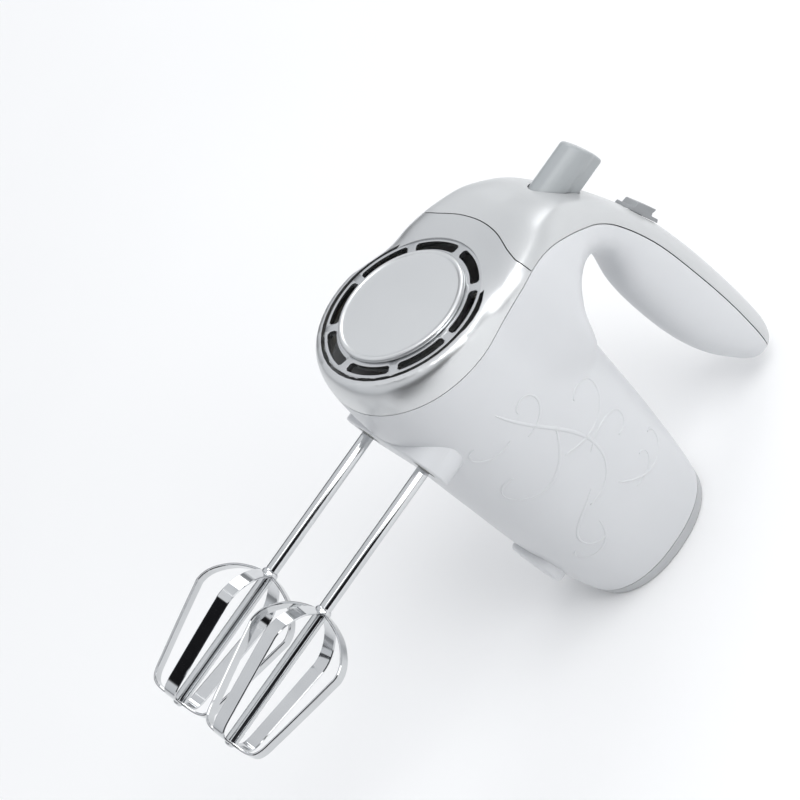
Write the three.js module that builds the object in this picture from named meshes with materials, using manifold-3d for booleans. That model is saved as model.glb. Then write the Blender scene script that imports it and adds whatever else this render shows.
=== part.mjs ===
// Hand mixer with two beaters, in millimetres, standing on its heel with the nose up.
// +X is the mixer's left side, +Y runs up through the handle, +Z runs from the heel to the nose.
// The origin is the middle of the heel's rest face.
import * as THREE from "three";
import { mergeVertices } from "three/addons/utils/BufferGeometryUtils.js";
import Module from "manifold-3d";

const wasm = await Module();
wasm.setup();

// ---- Driving dimensions ----
const gap = 0.3; // between pieces that touch
const wall = 2.2; // housing wall
const bodyRows = 18; // facets of the lofted shells
const bodySides = 28;
const handleRows = 20;
const handleSides = 18;
const bodyLength = 190; // heel face to the centre of the vent ring
const handleTop = 108.9; // motor axis to the top of the handle
const heelHalfWidth = 28.8;
const heelCapDepth = 7;
const heelScrewX = 20;
const heelScrewDepth = 1.9; // the heads are sunk this far below the rest face
const handleHalfWidth = 15;

const ringRadius = 37.4; // vent ring, outside
const ringThickness = 3;
const ringLean = THREE.MathUtils.degToRad(10.5); // the nose leans this far towards the handle
const ringHeight = 7; // ring centre above the motor axis
const rimWidth = 3.9; // silver rim outside the vent ring
const slotCount = 8;
const slotInner = 31.8;
const slotOuter = 36.2;
const slotSweep = THREE.MathUtils.degToRad(38);
const firstSlot = THREE.MathUtils.degToRad(1.5);
const badgeRadius = 30;
const badgeProud = 2.6;

const gearTeeth = 28;
const gearPitchRadius = 17;
const gearAddendum = 0.7;
const gearDedendum = 1.4;
const gearWidth = 8;
const gearWallClearance = 1.9;
const wormPitchRadius = 4.2;
const wormTipRadius = 5.1;
const wormRootRadius = 3.3;
const wormLength = 19;
const wormBoreRadius = 2.8;

const shaftRadius = 2.95; // beater shaft
const shaftClearance = 0.35;
const spindleWall = 2.1;
const bushWall = 2.2;
const socketWall = 3.2;
const runningGap = 0.5;
const beaterLength = 142; // shaft and cage below the socket
const shaftGrip = 40; // shaft inside the spindle
const cageLength = 69;
const cageRadius = 24.8;
const cageCorner = 12;
const bladeWidth = 6.4;
const bladeThickness = 1.1;
const collarLength = 5;
const leftBladeAngle = THREE.MathUtils.degToRad(18.5);
const rightBladeAngle = THREE.MathUtils.degToRad(26.5);

const armatureShaftRadius = 2.5;
const armatureRadius = 15.5;
const statorHalfWidth = 25;
const statorHalfHeight = 23;
const statorLength = 22;
const coilOverhang = 5;
const fanRadius = 24;
const fanBlades = 9;
const commutatorRadius = 8.5;
const commutatorLength = 12;
const commutatorBars = 12;
const armatureSlots = 10;
const bearingRadius = 5;
const bearingLength = 5;
const capacitorRadius = 5;
const capacitorDepth = 7;
const fanWidth = 10;
const frameThickness = 3;
const frameHalfWidth = 33;
const frameClearance = 3.5; // between the worm wheels and the gearbox posts

const ejectStroke = 8;
const buttonRadius = 7;
const buttonLength = 22; // front to back
const buttonExposed = 26.4; // at its tail
const plungerRadius = 4;
const pinRadius = 2.4;
const pinHeadRadius = 4.2;
const yokeThickness = 3;
const springRadius = 6.6;
const springWire = 1.1;
const springTurns = 4;

const sliderLength = 20;
const sliderWidth = 9;
const sliderThickness = 1.6;
const sliderTab = 3.8;
const sliderTravel = 12;
const sliderLean = THREE.MathUtils.degToRad(12);
const slideStemWidth = 4;

const footLength = 28;
const footWidth = 24;
const footDrop = 2.2;
const cordBushRadius = 5.5;

// ---- Places that follow from the dimensions ----
const drawnLength = 190; // the outlines below are drawn at this ring height
const drawnHandle = 108.9; // and with this handle height
const point = (z, y) => [(z * bodyLength) / drawnLength, (y * handleTop) / drawnHandle];
const spindleX = wormPitchRadius + gearPitchRadius;
const spindleZ = point(146.6, 0)[0];
const socketY = point(0, -42.5)[1];
const shaftTop = socketY + shaftGrip;
const beaterBottom = socketY - beaterLength;
const cageTop = beaterBottom + cageLength;
const spindleRadius = shaftRadius + shaftClearance + spindleWall;
const bushRadius = spindleRadius + runningGap + bushWall;
const bodyHalfWidth = spindleX + gearPitchRadius + gearAddendum + gearWallClearance + wall;
const gearRadius = gearPitchRadius + gearAddendum;
const frameFrontZ = spindleZ + gearRadius + frameClearance;
const frameRearZ = spindleZ - gearRadius - frameClearance;
const topPlateY = gearWidth / 2 + 9;
const lowPlateY = -gearWidth / 2 - 12;
const spindleTop = topPlateY + frameThickness + 2.5;
const yokeY = spindleTop + ejectStroke + 5; // underside of the ejector plate
const fanZ = frameRearZ - frameThickness - 10;
const statorZ = fanZ - 10 - coilOverhang - statorLength / 2;
const commutatorZ = statorZ - statorLength / 2 - coilOverhang - 8;
const rearBearingZ = commutatorZ - 14;
const capacitorZ = heelCapDepth + capacitorRadius + 3;
const ringCentre = new THREE.Vector3(0, ringHeight, bodyLength);
const ringHole = ringRadius + gap;
const noseRadius = ringHole + rimWidth;
const buttonFrontZ = point(170, 0)[0];
const buttonZ = buttonFrontZ - buttonRadius; // middle of the button's round front
const plungerZ = buttonZ - 4; // the button's stem stands behind its round front
const buttonTop = handleTop + 1.5;
const sliderZ = point(113.7, 0)[0];
const sliderY = point(0, 103.8)[1];
const footZ = point(41, 0)[0];

// ---- Materials ----
function finish(color, roughness, metalness) {
  return new THREE.MeshStandardMaterial({ color, roughness, metalness });
}

const white = finish(0xe9eaec, 0.42, 0);
const silver = finish(0xc9cccf, 0.35, 0.6);
const brightBand = finish(0xd9dcdf, 0.2, 0.85);
const greyPlastic = finish(0x9a9da0, 0.45, 0);
const darkGrey = finish(0x7c7f83, 0.5, 0);
const chrome = finish(0xdfe2e5, 0.08, 1);
const steel = finish(0xa8abb0, 0.35, 0.9);
const zinc = finish(0x8c8f93, 0.5, 0.8);
const copper = finish(0xa4572b, 0.4, 0.8);
const lamination = finish(0x5b5e63, 0.55, 0.7);
const brass = finish(0xb8923f, 0.4, 0.9);
const nylon = finish(0xe6e0cf, 0.5, 0);
const blackPlastic = finish(0x26282b, 0.5, 0);
const carbon = finish(0x303235, 0.7, 0.1);

// ---- Solids ----
function solid(geometry) {
  const bare = geometry.clone();
  bare.deleteAttribute("normal");
  bare.deleteAttribute("uv");
  const merged = mergeVertices(bare, 1e-4);
  const vertProperties = new Float32Array(merged.attributes.position.array);
  const triVerts = new Uint32Array(merged.index.array);
  return new wasm.Manifold(new wasm.Mesh({ numProp: 3, vertProperties, triVerts }));
}

function geometryOf(shape) {
  const { numProp, vertProperties, triVerts } = shape.getMesh();
  const position = new Float32Array((vertProperties.length / numProp) * 3);
  for (let i = 0; i < position.length / 3; i += 1) {
    position.set(vertProperties.subarray(i * numProp, i * numProp + 3), i * 3);
  }
  const geometry = new THREE.BufferGeometry();
  geometry.setAttribute("position", new THREE.BufferAttribute(position, 3));
  geometry.setIndex(new THREE.BufferAttribute(triVerts, 1));
  geometry.computeVertexNormals();
  return geometry;
}

// A round bar along Y from low to high.
function bar(radius, low, high, x = 0, z = 0, sides = 20) {
  const geometry = new THREE.CylinderGeometry(radius, radius, high - low, sides);
  return geometry.translate(x, (low + high) / 2, z);
}

// A round bar along Z from low to high.
function axle(radius, low, high, sides = 20) {
  return bar(radius, low, high, 0, 0, sides).rotateX(Math.PI / 2);
}

function block(sizeX, sizeY, sizeZ, x, y, z) {
  return new THREE.BoxGeometry(sizeX, sizeY, sizeZ).translate(x, y, z);
}

// An X-Z outline raised along Y from low to high.
function upright(shape, low, high, curveSegments = 12) {
  const geometry = new THREE.ExtrudeGeometry(shape, {
    depth: high - low,
    bevelEnabled: false,
    curveSegments,
  });
  return geometry.rotateX(Math.PI / 2).translate(0, high, 0);
}

// A Z-Y outline spread along X to both sides of the middle plane.
function crossways(outline, halfWidth, curveSegments = 12) {
  const shape = Array.isArray(outline) ? shapeOf(outline) : outline;
  const geometry = new THREE.ExtrudeGeometry(shape, {
    depth: 2 * halfWidth,
    bevelEnabled: false,
    curveSegments,
  });
  return geometry.translate(0, 0, -halfWidth).rotateY(-Math.PI / 2);
}

function shapeOf(outline) {
  return new THREE.Shape(outline.map(([x, y]) => new THREE.Vector2(x, y)));
}

// A profile of [radius, height] points turned about Y. The points run up the outside.
function turned(profile, segments = 32) {
  const points = profile.map(([radius, height]) => new THREE.Vector2(radius, height));
  return new THREE.LatheGeometry(points, segments);
}

function sleeve(inner, outer, low, high, segments = 24) {
  return turned(
    [
      [inner, low],
      [outer, low],
      [outer, high],
      [inner, high],
      [inner, low],
    ],
    segments,
  );
}

// ---- Lofted shells ----
const squareness = (value, power) => Math.sign(value) * Math.abs(value) ** (2 / power);

// A solid through rounded sections, from the first station to the last. Each station gives the section's
// top and bottom points in the middle plane, its half width and the powers that square its corners above
// and below.
function loft(stations, rows, columns, inset = 0) {
  const through = (pick) => new THREE.CatmullRomCurve3(stations.map(pick), false, "centripetal");
  const topLine = through((s) => new THREE.Vector3(0, s.top[1], s.top[0]));
  const bottomLine = through((s) => new THREE.Vector3(0, s.bottom[1], s.bottom[0]));
  const form = through((s) => new THREE.Vector3(s.half, s.power, s.lowPower));
  const geometry = new THREE.CylinderGeometry(1, 1, 1, columns, rows);
  const position = geometry.attributes.position;
  for (let i = 0; i < position.count; i += 1) {
    const along = position.getY(i) + 0.5;
    const top = topLine.getPoint(along);
    const bottom = bottomLine.getPoint(along);
    const { x: half, y: topPower, z: lowPower } = form.getPoint(along);
    const fromAxis = Math.hypot(position.getX(i), position.getZ(i));
    const angle = Math.atan2(position.getX(i), position.getZ(i));
    const power = Math.cos(angle) < 0 ? topPower : lowPower;
    const middle = top.clone().add(bottom).multiplyScalar(0.5);
    const up = top.clone().sub(bottom).multiplyScalar(0.5);
    up.setLength(up.length() - inset);
    middle.addScaledVector(up, -squareness(Math.cos(angle), power) * fromAxis);
    middle.x = squareness(Math.sin(angle), power) * fromAxis * (half - inset);
    position.setXYZ(i, middle.x, middle.y, middle.z);
  }
  return solid(geometry);
}

function station(top, bottom, half, power, lowPower = power) {
  return { top: point(...top), bottom: point(...bottom), half, power, lowPower };
}

// A round section parallel to the vent ring, set back behind its face.
function noseStation(back, radius, half, power) {
  const normalZ = Math.cos(ringLean);
  const normalY = Math.sin(ringLean);
  const offset = (side) => [
    ringCentre.z - normalZ * back - normalY * radius * side,
    ringCentre.y - normalY * back + normalZ * radius * side,
  ];
  return { top: offset(1), bottom: offset(-1), half, power, lowPower: power };
}

const bodyStations = [
  station([0, 34.4], [0, -34.6], heelHalfWidth, 2.2),
  station([16, 37.6], [16, -38], heelHalfWidth + 0.2 * (bodyHalfWidth - heelHalfWidth), 2.35),
  station([45, 42], [45, -41.2], heelHalfWidth + 0.52 * (bodyHalfWidth - heelHalfWidth), 2.4),
  station([80, 46.4], [88, -42], heelHalfWidth + 0.82 * (bodyHalfWidth - heelHalfWidth), 2.35),
  station([112, 49.5], [128, -42.2], bodyHalfWidth - 0.5, 2.3),
  station([148, 50], [166, -41.8], bodyHalfWidth, 2.25),
  noseStation(11, noseRadius + 3.2, bodyHalfWidth + 0.4, 2.15),
  noseStation(3, noseRadius + 1.7, noseRadius + 1.7, 2.05),
  noseStation(0, noseRadius, noseRadius, 2),
];

const handleStations = [
  station([9.5, 101.4], [9.5, 92], 0.5 * handleHalfWidth, 2),
  station([11, 104.6], [11.5, 88.4], 0.72 * handleHalfWidth, 2.1),
  station([18, 107.3], [19, 84.4], 0.9 * handleHalfWidth, 2.2),
  station([33, 108.6], [32, 78.8], 0.97 * handleHalfWidth, 2.3),
  station([57.6, 108.9], [50, 74.6], handleHalfWidth, 2.3),
  station([85, 107.9], [80, 72.8], handleHalfWidth, 2.3),
  station([107, 105.6], [100, 74], handleHalfWidth, 2.3),
  station([124, 102.2], [115, 78], handleHalfWidth + 0.4, 2.3),
  station([141, 97], [124, 78], handleHalfWidth + 2, 2.35, 2.2),
  station([157, 89.6], [130.4, 73.5], handleHalfWidth + 6, 2.45, 2.1),
  station([170.8, 81], [133, 67.4], handleHalfWidth + 12, 3, 2),
  station([180, 67.8], [132, 60.5], handleHalfWidth + 19, 4, 2),
  station([183.2, 53], [121.5, 52.4], handleHalfWidth + 24, 6, 2),
  station([184.6, 40], [100, 44], handleHalfWidth + 26.4, 9, 2),
  station([187, 24], [94, 32], handleHalfWidth + 26.8, 10, 2),
  station([189, 12], [94, 22], handleHalfWidth + 26.6, 10, 2),
];

function outerForm(growth = 0) {
  return loft(bodyStations, bodyRows, bodySides, -growth)
    .add(loft(handleStations, handleRows, handleSides, -growth));
}

function innerForm() {
  return loft(bodyStations, 10, 24, wall).add(loft(handleStations.slice(2), 13, 14, wall));
}

// ---- Seams ----
// Where the silver covers meet the white housing, from the handle's end down to the underside of the nose.
const coverSeam = [
  [-20, 98.4],
  [9.5, 98.4],
  [26, 99.6],
  [46, 100.4],
  [72, 100],
  [107, 97.4],
  [133, 91],
  [144, 86],
  [154, 79.4],
  [164, 71.5],
  [171.4, 63.4],
  [176, 53],
  [177, 38],
  [175.4, 14],
  [177, -4],
  [179.2, -19],
  [181.5, -32],
  [184, -50],
].map(([z, y]) => point(z, y));

// Where the top cover meets the nose cover, seen from the front: level across the bands, arched between.
const noseSeam = [
  [70, 48.4],
  [33, 48.4],
  [26, 50.4],
  [13, 54.8],
  [0, 56.4],
  [-13, 54.8],
  [-26, 50.4],
  [-33, 48.4],
  [-70, 48.4],
].map(([x, y]) => [x, point(0, y)[1]]);

function shifted(line, distance) {
  return line.map(([x, y], i) => {
    const [ax, ay] = line[Math.max(i - 1, 0)];
    const [bx, by] = line[Math.min(i + 1, line.length - 1)];
    const length = Math.hypot(bx - ax, by - ay);
    return [x - ((by - ay) / length) * distance, y + ((bx - ax) / length) * distance];
  });
}

const farAway = 2 * bodyLength;

function coverRegion() {
  return solid(crossways([...shifted(coverSeam, gap / 2), [farAway, -farAway], [farAway, farAway],
    [-farAway, farAway]], farAway));
}

function housingRegion() {
  return solid(crossways([...shifted(coverSeam, -gap / 2), [heelCapDepth + gap, -farAway],
    [heelCapDepth + gap, point(0, 60)[1]], [-farAway, point(0, 60)[1]]], farAway));
}

// An X-Y outline that reaches from the middle of the body to beyond the nose.
function noseRegion(outline) {
  const geometry = new THREE.ExtrudeGeometry(shapeOf(outline), { depth: farAway, bevelEnabled: false });
  return solid(geometry.translate(0, 0, bodyLength / 2));
}

function aboveNoseSeam() {
  return solid(block(2 * farAway, 2 * farAway, farAway, 0, 0, bodyLength / 2 - farAway / 2))
    .add(noseRegion([...shifted(noseSeam, -gap / 2), [-farAway, farAway], [farAway, farAway]]));
}

function belowNoseSeam() {
  return noseRegion([...shifted(noseSeam, gap / 2), [-farAway, -farAway], [farAway, -farAway]]);
}

// ---- Shell pieces ----
const outer = outerForm();
const inner = innerForm();
const shell = outer.subtract(inner);

// The teardrop section of the eject button, grown by a margin.
function teardrop(margin) {
  const radius = buttonRadius + margin;
  const tailZ = buttonZ - (buttonLength - buttonRadius) - margin;
  const tailHalf = 1.6 + margin;
  const shape = new THREE.Shape();
  shape.moveTo(-tailHalf, tailZ);
  shape.lineTo(tailHalf, tailZ);
  shape.lineTo(radius, buttonZ);
  shape.absarc(0, buttonZ, radius, 0, Math.PI, false);
  shape.lineTo(-tailHalf, tailZ);
  return shape;
}

function ringFrame(shape) {
  return shape.rotateX(Math.PI / 2 - ringLean).translate(ringCentre.x, ringCentre.y, ringCentre.z);
}

// Places a piece drawn about the slider's own middle on the leaning top of the handle.
function onTrack(geometry) {
  return geometry.rotateX(sliderLean).translate(0, sliderY, sliderZ);
}

function topCover() {
  const buttonSlot = solid(upright(teardrop(0.6), point(0, 66)[1], handleTop + 20));
  const trackLength = sliderLength + sliderTravel + 2;
  const track = solid(onTrack(block(sliderWidth + 1.2, 12, trackLength, 0, 6, -sliderTravel / 2)));
  const stemSlot = solid(
    onTrack(block(slideStemWidth + 1, 30, slideStemWidth + sliderTravel + 2, 0, 0, -sliderTravel / 2)),
  );
  return shell.intersect(coverRegion()).intersect(aboveNoseSeam())
    .subtract(buttonSlot).subtract(track).subtract(stemSlot);
}

function noseCover() {
  const hole = solid(ringFrame(bar(ringHole, -16, 20, 0, 0, 48)));
  return shell.intersect(coverRegion()).intersect(belowNoseSeam()).subtract(hole);
}

// The boss that both beaters enter, with the shape of a stadium.
function socketBoss(margin = 0) {
  const radius = spindleRadius + socketWall + margin;
  const shape = new THREE.Shape();
  shape.moveTo(-spindleX, spindleZ - radius);
  shape.absarc(spindleX, spindleZ, radius, -Math.PI / 2, Math.PI / 2, false);
  shape.absarc(-spindleX, spindleZ, radius, Math.PI / 2, 1.5 * Math.PI, false);
  return shape;
}

function footSolid() {
  const shape = new THREE.Shape();
  const half = footLength / 2 - footWidth / 2;
  shape.moveTo(-half, -footWidth / 2);
  shape.absarc(half, 0, footWidth / 2, -Math.PI / 2, Math.PI / 2, false);
  shape.absarc(-half, 0, footWidth / 2, Math.PI / 2, 1.5 * Math.PI, false);
  const pad = new THREE.ExtrudeGeometry(shape, {
    depth: footDrop + 6,
    bevelThickness: 1.6,
    bevelSize: 1.6,
    bevelOffset: -1.6,
    bevelSegments: 2,
    curveSegments: 8,
  });
  const bottom = point(0, -42)[1] - footDrop + 1.6;
  return solid(pad.rotateZ(Math.PI / 2).rotateX(-Math.PI / 2).translate(0, bottom, footZ));
}

function mainHousing() {
  const boss = solid(upright(socketBoss(), socketY, socketY + 14)).subtract(inner);
  let housing = shell.add(boss).intersect(housingRegion());
  for (const side of [1, -1]) {
    const radius = spindleRadius + runningGap;
    housing = housing.subtract(
      solid(bar(radius, socketY - 5, socketY + 20, side * spindleX, spindleZ)),
    );
  }
  return housing;
}

function heelCap() {
  const slab = solid(block(farAway, 2 * heelHalfWidth * 1.3, heelCapDepth, 0, 0, heelCapDepth / 2));
  const recess = solid(block(farAway, farAway, heelCapDepth, 0, 0, wall + 0.4 + heelCapDepth / 2));
  let cap = outer.intersect(slab).subtract(inner.intersect(recess));
  for (const side of [1, -1]) {
    const bore = axle(2.1, -1, heelCapDepth + 1, 12).translate(side * heelScrewX, 0, 0);
    const head = axle(3.6, -1, heelScrewDepth + gap, 16).translate(side * heelScrewX, 0, 0);
    cap = cap.subtract(solid(bore)).subtract(solid(head));
  }
  return cap.subtract(solid(axle(cordBushRadius + gap, -1, heelCapDepth + 1, 20)
    .translate(0, point(0, 24)[1], 0)));
}

// The bush that a mains lead passes, set flush in the heel cap so that the mixer stands level.
function cordInletBush() {
  return sleeve(2.6, cordBushRadius, 0.8, heelCapDepth + 8, 20).rotateX(Math.PI / 2)
    .translate(0, point(0, 24)[1], 0);
}

// The suppression capacitor, lying across the housing beside the heel cap, clear of the motor.
function capacitor() {
  const shape = new THREE.Shape();
  const half = 6;
  const low = -24;
  shape.moveTo(-half, -capacitorRadius);
  shape.absarc(half, 0, capacitorRadius, -Math.PI / 2, Math.PI / 2, false);
  shape.absarc(-half, 0, capacitorRadius, Math.PI / 2, 1.5 * Math.PI, false);
  return upright(shape, low, low + capacitorDepth, 5).translate(0, 0, capacitorZ);
}

function bowlRestFoot() {
  return footSolid().subtract(loft(bodyStations, bodyRows, bodySides, -gap));
}

// ---- Nose ----
function ventRing() {
  let ring = solid(sleeve(slotInner - 4, ringRadius, -ringThickness, 0, 48));
  for (let i = 0; i < slotCount; i += 1) {
    const start = firstSlot + (i * 2 * Math.PI) / slotCount;
    const slot = new THREE.Shape();
    slot.absarc(0, 0, slotOuter, start, start + slotSweep, false);
    slot.absarc(0, 0, slotInner, start + slotSweep, start, true);
    ring = ring.subtract(solid(upright(slot, -ringThickness - 2, 2, 6)));
  }
  return ring;
}

function noseBadge() {
  return turned(
    [
      [0, gap],
      [badgeRadius, gap],
      [badgeRadius, badgeProud * 0.45],
      [badgeRadius - 0.9, badgeProud * 0.8],
      [badgeRadius - 2.4, badgeProud],
      [badgeRadius - 3.8, badgeProud * 0.8],
      [0, badgeProud * 0.55],
    ],
    48,
  );
}

// ---- Beaters ----
// One strip of the cage: out from the collar, down the side, round the corner and in along the bottom.
function blade(angle, side) {
  const start = bladeWidth / 2 + bladeThickness / 2;
  const shoulder = cageTop - cageLength * 0.26;
  const line = new THREE.CatmullRomCurve3([
    new THREE.Vector3(start, cageTop - 1.5, 0),
    new THREE.Vector3(start + 5, cageTop - 3.2, 0),
    new THREE.Vector3(cageRadius * 0.66, cageTop - cageLength * 0.1, 0),
    new THREE.Vector3(cageRadius * 0.93, shoulder + cageLength * 0.06, 0),
    new THREE.Vector3(cageRadius, shoulder - 2, 0),
    new THREE.Vector3(cageRadius - 2.2, cageTop - cageLength * 0.56, 0),
    new THREE.Vector3(cageCorner + 8.4, beaterBottom + 15, 0),
    new THREE.Vector3(cageCorner + 5.2, beaterBottom + 6.4, 0),
    new THREE.Vector3(cageCorner, beaterBottom + 2.6, 0),
    new THREE.Vector3(start, beaterBottom + 2, 0),
  ]);
  const count = 26;
  const outside = [];
  const inside = [];
  for (let i = 0; i <= count; i += 1) {
    const at = line.getPoint(i / count);
    const along = line.getTangent(i / count);
    const nx = -along.y * (bladeThickness / 2);
    const ny = along.x * (bladeThickness / 2);
    outside.push(new THREE.Vector2(at.x + nx, at.y + ny));
    inside.push(new THREE.Vector2(at.x - nx, at.y - ny));
  }
  const strip = new THREE.ExtrudeGeometry(new THREE.Shape([...inside, ...outside.reverse()]), {
    depth: bladeWidth,
    bevelEnabled: false,
  });
  return strip.translate(0, 0, -bladeWidth / 2).rotateY(angle).translate(side * spindleX, 0, spindleZ);
}

function beaterShaft(side) {
  const tip = 1.2;
  return turned(
    [
      [0, beaterBottom],
      [shaftRadius * 0.6, beaterBottom],
      [shaftRadius, beaterBottom + tip],
      [shaftRadius, shaftTop - tip],
      [shaftRadius - 0.8, shaftTop],
      [0, shaftTop],
    ],
    16,
  ).translate(side * spindleX, 0, spindleZ);
}

function beaterCollar(side) {
  const bore = shaftRadius + gap;
  return turned(
    [
      [bore, cageTop],
      [bore + 1.7, cageTop],
      [bore + 2.1, cageTop + collarLength * 0.3],
      [bore + 2.1, cageTop + collarLength * 0.7],
      [bore + 1, cageTop + collarLength],
      [bore, cageTop + collarLength],
      [bore, cageTop],
    ],
    20,
  ).translate(side * spindleX, 0, spindleZ);
}

// ---- Drive ----
const wormPitch = (2 * Math.PI * gearPitchRadius) / gearTeeth;
const gearTwist = wormPitch / (2 * Math.PI * wormPitchRadius * gearPitchRadius); // radians per mm of width

// A worm wheel on its spindle. The phase turns the teeth so that they sit between the worm's threads.
function spindleGear(side, phase) {
  const rootRadius = gearPitchRadius - gearDedendum;
  const toothAngle = (2 * Math.PI) / gearTeeth;
  const outline = [];
  for (let i = 0; i < gearTeeth; i += 1) {
    const corners = [[-0.23, rootRadius], [-0.11, gearRadius], [0.11, gearRadius], [0.23, rootRadius]];
    for (const [share, radius] of corners) {
      const angle = phase + (i + share) * toothAngle;
      outline.push([radius * Math.cos(angle), radius * Math.sin(angle)]);
    }
  }
  const wheel = upright(shapeOf(outline), -gearWidth / 2, gearWidth / 2);
  const position = wheel.attributes.position;
  const place = new THREE.Vector3();
  for (let i = 0; i < position.count; i += 1) {
    place.fromBufferAttribute(position, i);
    place.applyAxisAngle(new THREE.Vector3(0, 1, 0), gearTwist * place.y);
    position.setXYZ(i, place.x, place.y, place.z);
  }
  const hub = bar(spindleRadius, socketY + 0.6, spindleTop, 0, 0, 20);
  const bore = bar(shaftRadius + shaftClearance, socketY - 1, spindleTop + 1, 0, 0, 20);
  const whole = solid(wheel).add(solid(hub)).subtract(solid(bore));
  return whole.translate(side * spindleX, 0, spindleZ);
}

// A single-start right-hand worm, whose thread is on +X at the spindles' height.
function worm() {
  const sides = 14;
  const rows = 28;
  const threaded = new THREE.CylinderGeometry(1, 1, wormLength, sides, rows).rotateX(Math.PI / 2);
  const position = threaded.attributes.position;
  for (let i = 0; i < position.count; i += 1) {
    const x = position.getX(i);
    const y = position.getY(i);
    const z = position.getZ(i);
    const turns = z / wormPitch - Math.atan2(y, x) / (2 * Math.PI);
    const fromThread = Math.abs(turns - Math.round(turns));
    const rise = THREE.MathUtils.clamp((0.25 - fromThread) / 0.1, 0, 1); // 1 on the thread, 0 between
    const radius = wormRootRadius + (wormTipRadius - wormRootRadius) * rise;
    position.setXYZ(i, x * radius, y * radius, z);
  }
  const bore = solid(axle(wormBoreRadius, -wormLength, wormLength, 16));
  return solid(threaded).subtract(bore).translate(0, 0, spindleZ);
}

function armatureCore() {
  let core = solid(axle(armatureRadius, statorZ - statorLength / 2, statorZ + statorLength / 2, 30));
  core = core.subtract(solid(axle(armatureShaftRadius + gap, 0, bodyLength, 16)));
  for (let i = 0; i < armatureSlots; i += 1) {
    const slot = block(1.8, 5, statorLength + 2, 0, armatureRadius - 1.5, statorZ);
    core = core.subtract(solid(slot.rotateZ((i * 2 * Math.PI) / armatureSlots)));
  }
  return core;
}

function commutator() {
  const reach = commutatorLength / 2;
  let ring = solid(axle(commutatorRadius, commutatorZ - reach, commutatorZ + reach, 24));
  ring = ring.subtract(solid(axle(armatureShaftRadius + gap, 0, bodyLength, 16)));
  for (let i = 0; i < commutatorBars; i += 1) {
    const cut = block(0.7, 2, commutatorLength + 2, 0, commutatorRadius, commutatorZ);
    ring = ring.subtract(solid(cut.rotateZ((i * 2 * Math.PI) / commutatorBars)));
  }
  return ring;
}

function fan() {
  const low = fanZ - fanWidth / 2;
  const disc = axle(fanRadius, low, low + 1.4, 32);
  const hub = axle(7, low + 1, low + fanWidth, 20);
  let wheel = solid(disc).add(solid(hub));
  for (let i = 0; i < fanBlades; i += 1) {
    const vane = block(1.4, 15, fanWidth - 2, 0, 15.5, fanZ);
    wheel = wheel.add(solid(vane.rotateZ((i * 2 * Math.PI) / fanBlades)));
  }
  return wheel.subtract(solid(axle(armatureShaftRadius + gap, 0, bodyLength, 16)));
}

function stator() {
  const outline = new THREE.Shape();
  const corner = 8;
  const w = statorHalfWidth;
  const h = statorHalfHeight;
  outline.moveTo(-w + corner, -h);
  outline.absarc(w - corner, -h + corner, corner, -Math.PI / 2, 0, false);
  outline.absarc(w - corner, h - corner, corner, 0, Math.PI / 2, false);
  outline.absarc(-w + corner, h - corner, corner, Math.PI / 2, Math.PI, false);
  outline.absarc(-w + corner, -h + corner, corner, Math.PI, 1.5 * Math.PI, false);
  const stack = new THREE.ExtrudeGeometry(outline, {
    depth: statorLength,
    bevelEnabled: false,
    curveSegments: 5,
  });
  const bore = axle(armatureRadius + 0.9, 0, bodyLength, 32);
  let core = solid(stack.translate(0, 0, statorZ - statorLength / 2)).subtract(solid(bore));
  for (const side of [1, -1]) {
    const window = block(5, 21, statorLength + 2, side * (armatureRadius + 3.2), 0, statorZ);
    core = core.subtract(solid(window));
  }
  return core;
}

// A field winding: a plain bundle through one of the stator's windows that stands out past both ends.
function fieldCoil(side) {
  const length = statorLength + 2 * coilOverhang;
  return block(3.8, 19, length, side * (armatureRadius + 3.4), 0, statorZ);
}

function motorRearBracket() {
  const z = rearBearingZ;
  const bridge = block(56, 12, 3, 0, 0, z + 1);
  const boss = axle(8.5, z - 4.5, z + 3.5, 24);
  let bracket = solid(bridge).add(solid(boss));
  for (const side of [1, -1]) {
    const leg = block(3, 12, statorZ + 6 - z, side * (statorHalfWidth + 2.1), 0, (statorZ + 6 + z) / 2);
    bracket = bracket.add(solid(leg));
  }
  return bracket.subtract(solid(axle(bearingRadius + gap, z - 10, z + 10, 20)));
}

function brushHolder(side) {
  const inside = commutatorRadius + 2.5;
  const tube = block(14, 9, 8, side * (inside + 7), 0, commutatorZ);
  const slot = block(20, 6.2, 5.2, side * (inside + 7), 0, commutatorZ);
  return solid(tube).subtract(solid(slot));
}

function brush(side) {
  const start = commutatorRadius + 0.5;
  return block(12, 5.6, 4.6, side * (start + 6), 0, commutatorZ);
}

// ---- Gearbox ----
function gearboxFrame() {
  const depth = frameFrontZ - frameRearZ + 2 * frameThickness;
  const middle = (frameFrontZ + frameRearZ) / 2;
  let frame = solid(block(2 * frameHalfWidth, frameThickness, depth, 0, lowPlateY, middle));
  const height = topPlateY - gap - lowPlateY - frameThickness / 2;
  for (const [z, shift] of [[frameFrontZ, frameThickness / 2], [frameRearZ, -frameThickness / 2]]) {
    const post = block(22, height, frameThickness, 0, (topPlateY - gap + lowPlateY) / 2, z + shift);
    frame = frame.add(solid(post));
  }
  frame = frame.subtract(solid(axle(bearingRadius + gap, frameRearZ - 9, frameFrontZ + 9, 24)));
  for (const side of [1, -1]) {
    const hole = bar(bushRadius + gap, lowPlateY - 9, lowPlateY + 9, side * spindleX, spindleZ, 24);
    frame = frame.subtract(solid(hole));
  }
  return frame;
}

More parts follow.
